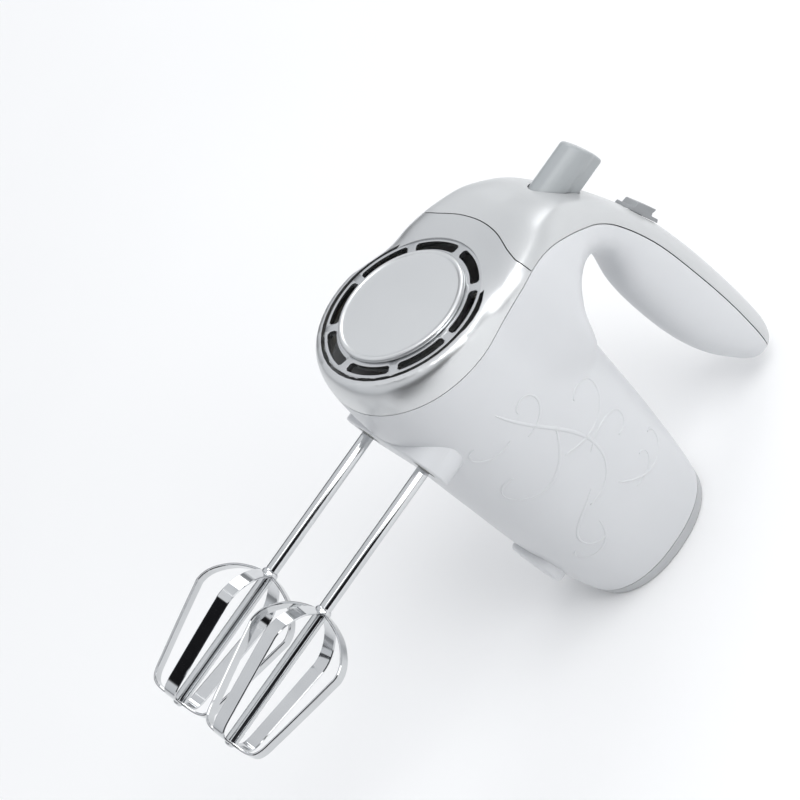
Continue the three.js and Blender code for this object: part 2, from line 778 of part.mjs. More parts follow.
function gearboxTopPlate() {
  const depth = frameFrontZ - frameRearZ + 2 * frameThickness;
  const middle = (frameFrontZ + frameRearZ) / 2;
  const y = topPlateY + frameThickness / 2;
  let plate = solid(block(1.8 * frameHalfWidth, frameThickness, depth, 0, y, middle));
  for (const side of [1, -1]) {
    plate = plate.subtract(solid(bar(bushRadius + gap, y - 9, y + 9, side * spindleX, spindleZ, 24)));
    plate = plate.subtract(solid(bar(1.8, y - 9, y + 9, 0, screwZ(side), 12)));
  }
  return plate;
}

const screwZ = (side) => (side > 0 ? frameFrontZ + frameThickness / 2 : frameRearZ - frameThickness / 2);

function bush(side, y) {
  const reach = 2.6;
  return sleeve(spindleRadius + runningGap, bushRadius, y - reach, y + reach)
    .translate(side * spindleX, 0, spindleZ);
}

function bearing(z) {
  const reach = bearingLength / 2;
  return sleeve(armatureShaftRadius + gap, bearingRadius, -reach, reach, 20)
    .rotateX(Math.PI / 2).translate(0, 0, z);
}

function panHead(radius, height, shank, length) {
  return turned(
    [
      [0, -length],
      [shank, -length],
      [shank, 0],
      [radius, 0],
      [radius, height * 0.5],
      [radius * 0.6, height],
      [0, height],
    ],
    14,
  );
}

// ---- Ejector ----
function ejectButton() {
  const bodyBottom = buttonTop - buttonExposed - ejectStroke - 4;
  const post = solid(upright(teardrop(0), bodyBottom, buttonTop));
  const domeRadius = 2.4 * buttonLength;
  const dome = new THREE.SphereGeometry(domeRadius, 48, 32);
  const crownZ = buttonZ - (buttonLength - buttonRadius); // the top is highest at the tail
  const crown = solid(dome.translate(0, buttonTop - domeRadius, crownZ));
  const foot = yokeY + yokeThickness + gap;
  const plunger = solid(bar(plungerRadius, foot, bodyBottom + 1, 0, plungerZ, 16));
  return post.intersect(crown).add(plunger);
}

function ejectorPlate() {
  const arm = 2 * (spindleX + pinHeadRadius);
  const armWidth = 11;
  const neckWidth = 10;
  const padRadius = 7;
  const y = yokeY + yokeThickness / 2;
  const yoke = solid(block(arm, yokeThickness, armWidth, 0, y, spindleZ));
  const pad = solid(bar(padRadius, yokeY, yokeY + yokeThickness, 0, plungerZ, 20));
  const neckLength = plungerZ - spindleZ + 4;
  const neck = solid(block(neckWidth, yokeThickness, neckLength, 0, y, (plungerZ + spindleZ) / 2));
  return yoke.add(pad).add(neck);
}

function pushPin(side) {
  return turned(
    [
      [0, shaftTop + gap],
      [pinRadius, shaftTop + gap],
      [pinRadius, yokeY - gap - 2.4],
      [pinHeadRadius, yokeY - gap - 2.4],
      [pinHeadRadius, yokeY - gap - 0.8],
      [pinHeadRadius - 1.4, yokeY - gap],
      [0, yokeY - gap],
    ],
    16,
  ).translate(side * spindleX, 0, spindleZ);
}

function ejectSpring() {
  const low = topPlateY + frameThickness + gap + springWire;
  const high = yokeY - gap - springWire;
  const points = [];
  const steps = springTurns * 10;
  for (let i = 0; i <= steps; i += 1) {
    const angle = (i / steps) * springTurns * 2 * Math.PI;
    points.push(new THREE.Vector3(springRadius * Math.cos(angle), low + ((high - low) * i) / steps,
      springRadius * Math.sin(angle)));
  }
  const section = new THREE.Shape().absarc(0, 0, springWire / 2, 0, 2 * Math.PI, false);
  return new THREE.ExtrudeGeometry(section, {
    steps,
    curveSegments: 3,
    extrudePath: new THREE.CatmullRomCurve3(points),
  }).translate(0, 0, spindleZ);
}

// ---- Switch ----
function speedSlider() {
  const plate = block(sliderWidth, sliderThickness, sliderLength, 0, gap + sliderThickness / 2, 0);
  const ramp = crossways(
    [
      [4.5, gap],
      [4.5, gap + sliderThickness + 0.6],
      [-3.4, gap + sliderThickness + sliderTab],
      [-4.6, gap + sliderThickness + sliderTab - 0.5],
      [-4.2, gap],
    ],
    sliderWidth / 2,
  );
  const stem = block(slideStemWidth, 9, slideStemWidth, 0, gap - 4, 0);
  return solid(onTrack(plate)).add(solid(onTrack(ramp))).add(solid(onTrack(stem)));
}

function switchBlock() {
  const length = sliderTravel + 16;
  const slot = block(slideStemWidth + 1.5, 9, slideStemWidth + sliderTravel + 3, 0, -8, -sliderTravel / 2);
  const box = block(15, 10, length, 0, -12.5, -sliderTravel / 2);
  return solid(onTrack(box)).subtract(solid(onTrack(slot)));
}

// ---- Assembly ----
const mixer = new THREE.Group();

function put(name, shape, material, group = mixer) {
  const geometry = shape.isBufferGeometry ? shape : geometryOf(shape);
  const mesh = new THREE.Mesh(geometry, material);
  mesh.name = name;
  group.add(mesh);
  return mesh;
}

put("main_housing", mainHousing(), white);
put("top_cover", topCover(), silver);
put("nose_cover", noseCover(), brightBand);
put("heel_cap", heelCap(), greyPlastic);
put("bowl_rest_foot", bowlRestFoot(), white);
put("cord_inlet_bush", cordInletBush(), blackPlastic);
put("capacitor", capacitor(), finish(0xc9a227, 0.5, 0));

const nose = new THREE.Group();
nose.position.copy(ringCentre);
nose.rotation.x = Math.PI / 2 - ringLean;
mixer.add(nose);
put("vent_ring", ventRing(), chrome, nose);
put("nose_badge", noseBadge(), silver, nose);

put("eject_button", ejectButton(), greyPlastic);
put("ejector_plate", ejectorPlate(), nylon);
put("eject_spring", ejectSpring(), steel);
put("speed_slider", speedSlider(), darkGrey);
put("switch_block", switchBlock(), blackPlastic);

const shaftEnds = [rearBearingZ - 6, frameFrontZ + frameThickness + 3];
put("armature_shaft", axle(armatureShaftRadius, ...shaftEnds, 16), steel);
put("armature_core", armatureCore(), lamination);
put("commutator", commutator(), copper);
put("fan", fan(), blackPlastic);
put("worm", worm(), steel);
put("motor_stator", stator(), lamination);
put("motor_rear_bracket", motorRearBracket(), zinc);
put("rear_bearing", bearing(rearBearingZ), brass);
put("front_bearing", bearing(frameFrontZ + frameThickness / 2), brass);
put("gearbox_frame", gearboxFrame(), zinc);
put("gearbox_top_plate", gearboxTopPlate(), zinc);

for (const [name, side] of [["front", 1], ["rear", -1]]) {
  const screw = put("plate_screw_" + name, panHead(3, 1.6, 1.4, frameThickness), steel);
  screw.position.set(0, topPlateY + frameThickness + gap, screwZ(side));
}

for (const [name, side] of [["left", 1], ["right", -1]]) {
  const heelScrew = put("heel_screw_" + name, panHead(3, 1.6, 1.6, heelCapDepth + 3), steel);
  heelScrew.rotation.x = -Math.PI / 2;
  heelScrew.position.set(side * heelScrewX, 0, heelScrewDepth);
  put("field_coil_" + name, fieldCoil(side), copper);
  put("brush_holder_" + name, brushHolder(side), brass);
  put("brush_" + name, brush(side), carbon);
  put("top_bush_" + name, bush(side, topPlateY + frameThickness / 2), brass);
  put("low_bush_" + name, bush(side, lowPlateY), brass);
  put("spindle_gear_" + name, spindleGear(side, side > 0 ? Math.PI / gearTeeth : 0), nylon);
  put("push_pin_" + name, pushPin(side), steel);
  put("beater_shaft_" + name, beaterShaft(side), chrome);
  put("beater_collar_" + name, beaterCollar(side), chrome);
  for (let i = 0; i < 4; i += 1) {
    const angle = (side > 0 ? leftBladeAngle : rightBladeAngle) + (i * Math.PI) / 2;
    put("beater_blade_" + name + "_" + (i + 1), blade(angle, side), chrome);
  }
}

export default mixer;
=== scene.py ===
import math

import bmesh
import bpy
import numpy as np
from mathutils import Matrix, Vector
from mathutils.bvhtree import BVHTree


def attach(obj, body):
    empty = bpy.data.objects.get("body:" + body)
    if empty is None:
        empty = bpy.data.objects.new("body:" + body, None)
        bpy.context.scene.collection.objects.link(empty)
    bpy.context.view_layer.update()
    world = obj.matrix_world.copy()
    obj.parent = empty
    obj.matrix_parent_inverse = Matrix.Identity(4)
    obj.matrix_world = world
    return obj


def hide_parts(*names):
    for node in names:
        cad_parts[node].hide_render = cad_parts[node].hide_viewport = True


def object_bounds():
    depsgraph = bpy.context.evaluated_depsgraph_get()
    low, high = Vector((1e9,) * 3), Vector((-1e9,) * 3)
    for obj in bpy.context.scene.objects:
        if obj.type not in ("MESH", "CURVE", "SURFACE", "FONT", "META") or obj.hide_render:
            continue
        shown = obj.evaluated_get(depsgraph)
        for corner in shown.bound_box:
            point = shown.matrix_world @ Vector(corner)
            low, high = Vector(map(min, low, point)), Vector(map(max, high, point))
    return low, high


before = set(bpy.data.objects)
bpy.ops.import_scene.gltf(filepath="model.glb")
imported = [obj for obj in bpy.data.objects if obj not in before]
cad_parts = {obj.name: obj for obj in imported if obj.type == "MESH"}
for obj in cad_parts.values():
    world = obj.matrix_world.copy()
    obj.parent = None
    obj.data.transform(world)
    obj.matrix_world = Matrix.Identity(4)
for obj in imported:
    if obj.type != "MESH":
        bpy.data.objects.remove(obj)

CAD_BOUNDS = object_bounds()
MM = 0.001  # the tables and sizes below are in millimetres

# ---- Sizes ----
SEAM = 0.5  # gap between the covers
WALL = 2.2
VOXEL = 0.9
BLEND_REACH = 5.0
BLEND_STEPS = 150
RELAX_STEPS = 10
RING_CENTRE = np.array([0.0, 7.0, 190.0])
RING_LEAN = math.radians(10.5)
RING_HOLE = 37.7
RING_RADIUS = 37.66
RING_THICKNESS = 3.0
NOSE_RADIUS = 41.6
SLOT_COUNT = 8
SLOT_INNER = 31.8
SLOT_OUTER = 36.2
SLOT_SWEEP = math.radians(38)
FIRST_SLOT = math.radians(1.5)
BADGE_RADIUS = 30.0
BADGE_LOW = 0.3
BADGE_PROUD = 2.6
HEEL_DEPTH = 7.0
SCREW_X = 20
SCREW_RADIUS = 2.1
SCREW_HEAD_RADIUS = 3.6
SCREW_HEAD_DEPTH = 2.2
INLET_RADIUS = 5.8
INLET_Y = 24
SPINDLE_X = 21.2
SPINDLE_Z = 146.6
SOCKET_Y = -42.5
BOSS_RADIUS = 11.85
BOSS_DEPTH = 14.0
BORE_RADIUS = 5.9
BUTTON_RADIUS = 7.0
BUTTON_LENGTH = 22.0
BUTTON_Z = 163.0
BUTTON_TOP = 110.3
BUTTON_LOW = 72.0
BUTTON_CLEARANCE = 0.6
PLUNGER_LOW = 34.8
PLUNGER_RADIUS = 4.0
SLIDER_LEAN = math.radians(12)
SLIDER_Y = 103.8
SLIDER_Z = 113.7
SLIDER_HALF_WIDTH = 4.5
SHAFT_RADIUS = 2.95
CAGE_RADIUS = 24.8
CAGE_CORNER = 12.0
BLADE_WIDTH = 6.4
BLADE_THICKNESS = 1.1
BEATER_BOTTOM = -184.5
CAGE_LENGTH = 69.0
CAGE_TOP = BEATER_BOTTOM + CAGE_LENGTH
SHAFT_TOP = -2.5
BLADE_ANGLE = {"left": math.radians(18.5), "right": math.radians(26.5)}
SIDE = {"left": 1, "right": -1}

# top (z, y), bottom (z, y), half width, power in front, power behind
BODY = [
    (0, 34.4, 0, -34.6, 28.8, 2.2, 2.2),
    (16, 37.6, 16, -38, 31.64, 2.35, 2.35),
    (45, 42, 45, -41.2, 36.184, 2.4, 2.4),
    (80, 46.4, 88, -42, 40.444, 2.35, 2.35),
    (112, 49.5, 128, -42.2, 42.5, 2.3, 2.3),
    (148, 50, 166, -41.8, 43, 2.25, 2.25),
]
HANDLE = [
    (9.5, 101.4, 9.5, 92, 7.5, 2, 2),
    (11, 104.6, 11.5, 88.4, 10.8, 2.1, 2.1),
    (18, 107.3, 19, 84.4, 13.5, 2.2, 2.2),
    (33, 108.6, 32, 78.8, 14.55, 2.3, 2.3),
    (57.6, 108.9, 50, 74.6, 15, 2.3, 2.3),
    (85, 107.9, 80, 72.8, 15, 2.3, 2.3),
    (107, 105.6, 100, 74, 15, 2.3, 2.3),
    (124, 102.2, 115, 78, 15.4, 2.3, 2.3),
    (141, 97, 124, 78, 17, 2.35, 2.2),
    (157, 89.6, 130.4, 73.5, 21, 2.45, 2.1),
    (170.8, 81, 133, 67.4, 27, 3, 2),
    (180, 67.8, 132, 60.5, 34, 4, 2),
    (183.2, 53, 121.5, 52.4, 39, 6, 2),
    (184.6, 40, 100, 44, 41.4, 9, 2),
    (187, 24, 94, 32, 41.8, 10, 2),
    (189, 12, 94, 22, 41.6, 10, 2),
]
# how far the front edge stands proud at each handle station, and where across the section it lies
CREASE = [(0, 0.7)] * 7 + [
    (0.5, 0.72), (1.4, 0.72), (2.0, 0.72), (2.1, 0.76), (1.8, 0.82),
    (1.1, 0.88), (0.5, 0.92), (0, 0.95), (0, 0.95),
]
# (z, y) along the line between the upper cover and the housing, from the heel end of the handle to the nose
COVER_SEAM = [
    (-20, 98.4), (9.5, 98.4), (26, 99.6), (46, 100.4), (72, 100), (107, 97.4),
    (133, 91), (144, 86), (154, 79.4), (164, 71.5), (171.4, 63.4), (176, 53),
    (177, 38), (175.4, 14), (177, -4), (179.2, -19), (181.5, -32), (184, -50),
]
# (x, y) along the line between the upper cover and the nose
NOSE_SEAM = [
    (70, 48.4), (33, 48.4), (26, 50.4), (13, 54.8), (0, 56.4),
    (-13, 54.8), (-26, 50.4), (-33, 48.4), (-70, 48.4),
]
FAR = 400.0

# height of a direction, and how bright the surroundings are there
WORLD_STOPS = [(0.02, 0.25), (0.10, 0.30), (0.25, 0.62)]
# dark cards in the surroundings: direction, angular radius in degrees and brightness
DARK_CARDS = [
    ((0.10, -0.42, 0.90), 16, 0.01), ((0.98, 0.02, 0.10), 20, 0.01), ((0.90, 0.02, 0.40), 18, 0.01),
    ((0.76, -0.02, 0.64), 12, 0.02), ((-0.95, 0.05, 0.2), 16, 0.03),
]


# camera and lamps are in metres
CAMERA_PLACE = (1.0946, -0.117, 1.0963)
CAMERA_AHEAD = (-0.7584, 0.0644, -0.6476)
CAMERA_UP = (0.0489, 0.9979, 0.0418)
CAMERA_ROLL = math.radians(35.42)
LENS = 153.3
SENSOR = 36
# name, place, the point it is aimed at, width and height, watts
LAMPS = [
    ("key", (0.9, 0.8, 1.9), (0, 0, 0.1), (1.4, 1.4), 17),
    ("fill", (1.9, 0.75, 1.0), (0, 0.0, 0.12), (0.9, 1.2), 7),
    ("rim", (-0.7, 1.6, 0.9), (0, 0, 0.1), (0.8, 1.0), 6),
]


CARD_CORE = 0.6  # share of a card's radius inside which it has its full darkness


# ---- Camera, floor and light ----
def make_camera():
    data = bpy.data.cameras.new("camera")
    data.lens = LENS
    data.sensor_width = SENSOR
    camera = bpy.data.objects.new("camera", data)
    bpy.context.scene.collection.objects.link(camera)
    ahead = Vector(CAMERA_AHEAD).normalized()
    level_up = Vector(CAMERA_UP).normalized()
    level_right = ahead.cross(level_up).normalized()
    level_up = level_right.cross(ahead)
    up = math.cos(CAMERA_ROLL) * level_up - math.sin(CAMERA_ROLL) * level_right
    right = math.sin(CAMERA_ROLL) * level_up + math.cos(CAMERA_ROLL) * level_right
    turn = Matrix((right, up, -ahead)).transposed().to_4x4()
    camera.matrix_world = Matrix.Translation(CAMERA_PLACE) @ turn
    bpy.context.scene.camera = camera


def area_light(name, place, target, size, power):
    data = bpy.data.lights.new(name, "AREA")
    data.shape = "RECTANGLE"
    data.size, data.size_y = size
    data.energy = power
    lamp = bpy.data.objects.new(name, data)
    bpy.context.scene.collection.objects.link(lamp)
    lamp.location = place
    lamp.rotation_euler = (Vector(target) - Vector(place)).to_track_quat("-Z", "Y").to_euler()


def make_floor():
    size = 6.0
    mesh = bpy.data.meshes.new("floor")
    corners = [(-size, -size, 0), (size, -size, 0), (size, size, 0), (-size, size, 0)]
    mesh.from_pydata(corners, [], [(0, 1, 2, 3)])
    floor = bpy.data.objects.new("floor", mesh)
    bpy.context.scene.collection.objects.link(floor)
    mesh.materials.append(floor_material())


def make_flag():
    """A dark board beside the set, seen only in reflections. It gives the nose band its dark side."""
    half_length, half_height = 0.40, 0.30
    mesh = bpy.data.meshes.new("flag")
    corners = [(-half_length, -half_height, 0), (half_length, -half_height, 0),
               (half_length, half_height, 0), (-half_length, half_height, 0)]
    mesh.from_pydata(corners, [], [(0, 1, 2, 3)])
    flag = bpy.data.objects.new("flag", mesh)
    bpy.context.scene.collection.objects.link(flag)
    place, target = Vector((0.50, -0.46, 0.20)), Vector((0, 0, 0.19))
    flag.location = place
    flag.rotation_euler = (target - place).to_track_quat("Z", "Y").to_euler()
    flag.visible_camera = False
    flag.visible_shadow = False
    flag.visible_diffuse = False
    material, _ = finished("flag_black", (0.010, 0.011, 0.014), (0.014, 0.015, 0.019), (0.9, 0.95))
    mesh.materials.append(material)


def make_world():
    world = bpy.data.worlds.new("studio")
    bpy.context.scene.world = world
    world.use_nodes = True
    nodes, links = world.node_tree.nodes, world.node_tree.links
    background = nodes["Background"]
    where = nodes.new("ShaderNodeTexCoord")
    split = nodes.new("ShaderNodeSeparateXYZ")
    ramp = nodes.new("ShaderNodeValToRGB")
    stops = ramp.color_ramp.elements
    stops[0].position, stops[0].color = 0.0, (0.55, 0.56, 0.58, 1)
    stops[1].position, stops[1].color = 1.0, (0.75, 0.76, 0.78, 1)
    for height, value in WORLD_STOPS:
        stop = stops.new(height)
        stop.color = (value * 0.97, value, value * 1.04, 1)
    links.new(where.outputs["Generated"], split.inputs["Vector"])
    links.new(split.outputs["Z"], ramp.inputs["Fac"])
    shade = ramp.outputs["Color"]
    for direction, radius, value in DARK_CARDS:
        dot = nodes.new("ShaderNodeVectorMath")
        dot.operation = "DOT_PRODUCT"
        dot.inputs[1].default_value = Vector(direction).normalized()
        links.new(where.outputs["Generated"], dot.inputs[0])
        edge = nodes.new("ShaderNodeMapRange")
        edge.inputs["From Min"].default_value = math.cos(math.radians(radius))
        edge.inputs["From Max"].default_value = math.cos(math.radians(radius * CARD_CORE))
        links.new(dot.outputs["Value"], edge.inputs["Value"])
        mix = nodes.new("ShaderNodeMix")
        mix.data_type = "RGBA"
        mix.inputs[7].default_value = (value, value, value * 1.15, 1)
        links.new(edge.outputs["Result"], mix.inputs["Factor"])
        links.new(shade, mix.inputs[6])
        shade = mix.outputs[2]
    links.new(shade, background.inputs["Color"])
    background.inputs["Strength"].default_value = 1.0


def light_the_scene():
    make_world()
    for lamp in LAMPS:
        area_light(*lamp)
    make_flag()
    view = bpy.context.scene.view_settings
    view.view_transform = "Standard"
    view.look = "None"
    view.exposure = 0.2


# ---- Materials ----
GRAIN_STRENGTH = 0.25


def new_material(name, color, roughness, metallic=0.0):
    material = bpy.data.materials.new(name)
    material.use_nodes = True
    shader = material.node_tree.nodes["Principled BSDF"]
    shader.inputs["Base Color"].default_value = (*color, 1)
    shader.inputs["Roughness"].default_value = roughness
    shader.inputs["Metallic"].default_value = metallic
    return material, shader


def noise(material, scale, detail=3.0, stretch=None):
    nodes, links = material.node_tree.nodes, material.node_tree.links
    where = nodes.new("ShaderNodeTexCoord")
    texture = nodes.new("ShaderNodeTexNoise")
    texture.inputs["Scale"].default_value = scale
    texture.inputs["Detail"].default_value = detail
    source = where.outputs["Object"]
    if stretch:
        mapping = nodes.new("ShaderNodeMapping")
        mapping.inputs["Scale"].default_value = stretch
        links.new(source, mapping.inputs["Vector"])
        source = mapping.outputs["Vector"]
    links.new(source, texture.inputs["Vector"])
    return texture.outputs["Fac"]


def tint(material, shader, fac, dark, light):
    ramp = material.node_tree.nodes.new("ShaderNodeValToRGB")
    ramp.color_ramp.elements[0].position = 0.3
    ramp.color_ramp.elements[0].color = (*dark, 1)
    ramp.color_ramp.elements[1].position = 0.7
    ramp.color_ramp.elements[1].color = (*light, 1)
    material.node_tree.links.new(fac, ramp.inputs["Fac"])
    material.node_tree.links.new(ramp.outputs["Color"], shader.inputs["Base Color"])


def vary_roughness(material, shader, fac, low, high):
    spread = material.node_tree.nodes.new("ShaderNodeMapRange")
    spread.inputs["To Min"].default_value = low
    spread.inputs["To Max"].default_value = high
    material.node_tree.links.new(fac, spread.inputs["Value"])
    material.node_tree.links.new(spread.outputs["Result"], shader.inputs["Roughness"])


def grain(material, shader, fac, strength, distance):
    bump = material.node_tree.nodes.new("ShaderNodeBump")
    bump.inputs["Strength"].default_value = strength
    bump.inputs["Distance"].default_value = distance
    material.node_tree.links.new(fac, bump.inputs["Height"])
    material.node_tree.links.new(bump.outputs["Normal"], shader.inputs["Normal"])


def finished(name, dark, light, roughness, metallic=0.0, patches=14.0,
             grain_scale=900.0, grain_depth=0.00002, stretch=None):
    material, shader = new_material(name, light, roughness[0], metallic)
    tint(material, shader, noise(material, patches), dark, light)
    vary_roughness(material, shader, noise(material, patches * 4), *roughness)
    grain(material, shader, noise(material, grain_scale, 2.0, stretch), GRAIN_STRENGTH, grain_depth)
    return material, shader


def floor_material():
    dark, light = (0.90, 0.90, 0.90), (0.92, 0.92, 0.92)
    material, _ = finished("studio_floor", dark, light, (0.75, 0.9), patches=3)
    return material


def gloss_white():
    dark, light = (0.625, 0.635, 0.65), (0.655, 0.665, 0.68)
    material, shader = finished("housing_white_plastic", dark, light, (0.32, 0.40))
    shader.inputs["Subsurface Weight"].default_value = 0.05
    shader.inputs["Subsurface Radius"].default_value = (0.003, 0.003, 0.003)
    shader.inputs["IOR"].default_value = 1.5
    return material


def satin_silver():
    dark, light = (0.54, 0.55, 0.555), (0.59, 0.60, 0.605)
    material, shader = finished("silver_paint", dark, light, (0.36, 0.42), 0.35,
                                grain_scale=2600, grain_depth=0.00001)
    shader.inputs["Coat Weight"].default_value = 0.25
    shader.inputs["Coat Roughness"].default_value = 0.15
    return material


def bright_band():
    dark, light = (0.66, 0.67, 0.675), (0.72, 0.73, 0.735)
    material, _ = finished("nose_band_metal", dark, light, (0.30, 0.35), 0.9,
                           grain_scale=2200, grain_depth=0.000006)
    return material


def brushed_badge():
    dark, light = (0.70, 0.71, 0.715), (0.75, 0.76, 0.765)
    material, _ = finished("badge_silver", dark, light, (0.30, 0.36), 0.8,
                           grain_scale=2400, grain_depth=0.000008)
    return material


def chrome(name, low=0.05, high=0.10):
    material, _ = finished(name, (0.60, 0.61, 0.62), (0.66, 0.67, 0.68), (low, high), 1.0, patches=40,
                           grain_scale=60, grain_depth=0.00002)
    return material


def grey_plastic(name, dark, light, roughness=(0.36, 0.44)):
    material, shader = finished(name, dark, light, roughness, grain_scale=1500, grain_depth=0.00003)
    shader.inputs["IOR"].default_value = 1.5
    return material


def inner_materials():
    return {
        "steel": finished("machined_steel", (0.45, 0.46, 0.48), (0.56, 0.57, 0.59), (0.25, 0.38), 1.0,
                          stretch=(1, 1, 30))[0],
        "lamination": finished("stacked_laminations", (0.16, 0.17, 0.19), (0.30, 0.31, 0.33), (0.4, 0.55),
                               0.8, grain_scale=60, grain_depth=0.0003, stretch=(0.2, 0.2, 22))[0],
        "copper": finished("enamelled_copper", (0.45, 0.16, 0.06), (0.66, 0.28, 0.12), (0.28, 0.42), 0.9,
                           grain_scale=70, grain_depth=0.0004, stretch=(18, 1, 1))[0],
        "bearing_brass": finished("sintered_brass", (0.52, 0.36, 0.13), (0.66, 0.49, 0.22), (0.35, 0.5),
                                  1.0)[0],
        "die_cast": finished("die_cast_zinc", (0.34, 0.35, 0.37), (0.48, 0.49, 0.51), (0.45, 0.6), 0.8,
                             grain_scale=700, grain_depth=0.00006)[0],
        "nylon": finished("greased_nylon", (0.74, 0.70, 0.60), (0.84, 0.81, 0.72), (0.38, 0.52))[0],
        "black_plastic": finished("black_plastic", (0.015, 0.016, 0.018), (0.035, 0.036, 0.04),
                                  (0.4, 0.55))[0],
        "carbon": finished("carbon_brush", (0.02, 0.02, 0.022), (0.06, 0.06, 0.065), (0.6, 0.8))[0],
        "capacitor_yellow": finished("capacitor_film", (0.62, 0.45, 0.05), (0.78, 0.60, 0.10),
                                     (0.35, 0.5))[0],
    }


# ---- Mesh helpers ----
def object_from(name, points, faces, smooth=True):
    mesh = bpy.data.meshes.new(name)
    mesh.from_pydata([tuple(p) for p in (np.asarray(points, float) * MM)], [], faces)
    mesh.validate()
    piece = bpy.data.objects.new(name, mesh)
    bpy.context.scene.collection.objects.link(piece)
    if smooth:
        mesh.shade_smooth()
    return piece


def apply_modifiers(piece):
    graph = bpy.context.evaluated_depsgraph_get()
    mesh = bpy.data.meshes.new_from_object(piece.evaluated_get(graph), depsgraph=graph)
    piece.modifiers.clear()
    old = piece.data
    piece.data = mesh
    mesh.name = piece.name
    bpy.data.meshes.remove(old)
    return piece


def combine(piece, tool, operation, keep_tool=False):
    step = piece.modifiers.new("cut", "BOOLEAN")
    step.operation = operation
    step.solver = "MANIFOLD"
    step.object = tool
    apply_modifiers(piece)
    if not keep_tool:
        discard(tool)
    return piece


def discard(piece):
    mesh = piece.data
    bpy.data.objects.remove(piece)
    bpy.data.meshes.remove(mesh)


def copy_of(piece, name):
    twin = bpy.data.objects.new(name, piece.data.copy())
    bpy.context.scene.collection.objects.link(twin)
    return twin


def prism(name, outline, low, high, axis):
    """A closed outline spread along x, y or z. Its pairs are (z, y) for x, (x, z) for y, (x, y) for z."""
    place = {
        "x": lambda a, b, h: (h, b, a),
        "y": lambda a, b, h: (a, h, b),
        "z": lambda a, b, h: (a, b, h),
    }[axis]
    count = len(outline)
    points = [place(a, b, h) for h in (low, high) for a, b in outline]
    faces = [tuple(range(count)), tuple(range(2 * count - 1, count - 1, -1))]
    faces += [(i, i + count, (i + 1) % count + count, (i + 1) % count) for i in range(count)]
    piece = object_from(name, points, faces, smooth=False)
    face_outwards(piece)
    return piece


def face_outwards(piece):
    work = bmesh.new()
    work.from_mesh(piece.data)
    bmesh.ops.recalc_face_normals(work, faces=work.faces)
    work.to_mesh(piece.data)
    work.free()


def lathe(name, profile, segments=96, axis="y", centre=(0, 0, 0)):
    """A (radius, height) profile turned about an axis through the centre. It closes on itself or the axis.

    One that starts on the axis, at radius 0, ends on it too."""
    points, rings = [], []
    for radius, height in profile:
        start = len(points)
        count = 1 if radius == 0 else segments
        for i in range(count):
            a = 2 * math.pi * i / segments
            across, along = radius * math.cos(a), radius * math.sin(a)
            points.append((across, height, along) if axis == "y" else (across, along, height))
        rings.append((start, count))
    faces = []
    closed = profile[0][0] > 0
    pairs = list(zip(rings, rings[1:] + rings[:1])) if closed else list(zip(rings, rings[1:]))
    for (a, na), (b, nb) in pairs:
        for i in range(segments):
            j = (i + 1) % segments
            corners = [a + i % na, a + j % na, b + j % nb, b + i % nb]
            unique = list(dict.fromkeys(corners))
            if len(unique) > 2:
                faces.append(tuple(unique))
    piece = object_from(name, np.array(points) + np.array(centre), faces)
    face_outwards(piece)
    return piece


def bevelled(piece, width, segments=3, angle=35):
    step = piece.modifiers.new("edge", "BEVEL")
    step.width = width * MM
    step.segments = segments
    step.limit_method = "ANGLE"
    step.angle_limit = math.radians(angle)
    step.use_clamp_overlap = True
    return apply_modifiers(piece)


def sharp_by_angle(piece, angle=35):
    piece.data.shade_smooth()
    piece.data.set_sharp_from_angle(angle=math.radians(angle))
    return piece


def in_ring_frame(piece):
    """Moves points drawn about the ring's own axis, which is y, onto the leaning nose."""
    turn = Matrix.Rotation(math.pi / 2 - RING_LEAN, 4, "X")
    piece.data.transform(Matrix.Translation(Vector(RING_CENTRE * MM)) @ turn)
    return piece


def on_track(piece):
    turn = Matrix.Rotation(SLIDER_LEAN, 4, "X")
    piece.data.transform(Matrix.Translation((0, SLIDER_Y * MM, SLIDER_Z * MM)) @ turn)
    return piece


# ---- Lofts ----
def through(points, at):
    """Centripetal Catmull-Rom through the points, at parameters from 0 to 1."""
    points = np.asarray(points, float)
    last = len(points) - 1
    result = []
    for t in np.atleast_1d(at):
        place = min(t * last, last - 1e-9)
        i = int(place)
        w = place - i
        p1, p2 = points[i], points[i + 1]
        p0 = points[i - 1] if i > 0 else 2 * p1 - p2
        p3 = points[i + 2] if i + 2 <= last else 2 * p2 - p1
        d0, d1, d2 = (max(np.linalg.norm(b - a), 1e-8) ** 0.5 for a, b in ((p0, p1), (p1, p2), (p2, p3)))
        m1 = ((p1 - p0) / d0 - (p2 - p0) / (d0 + d1) + (p2 - p1) / d1) * d1
        m2 = ((p2 - p1) / d1 - (p3 - p1) / (d1 + d2) + (p3 - p2) / d2) * d1
        result.append(p1 + m1 * w + (3 * (p2 - p1) - 2 * m1 - m2) * w**2 + (2 * (p1 - p2) + m1 + m2) * w**3)
    return np.array(result)


def nose_station(back, radius, half, power):
    across, along = math.cos(RING_LEAN), math.sin(RING_LEAN)

    def rim(side):
        return (RING_CENTRE[2] - across * back - along * radius * side,
                RING_CENTRE[1] - along * back + across * radius * side)

    return (*rim(1), *rim(-1), half, power, power)


BODY += [nose_station(11, NOSE_RADIUS + 3.2, 43.4, 2.15),
         nose_station(3, NOSE_RADIUS + 1.7, NOSE_RADIUS + 1.7, 2.05),
         nose_station(0, NOSE_RADIUS, NOSE_RADIUS, 2)]


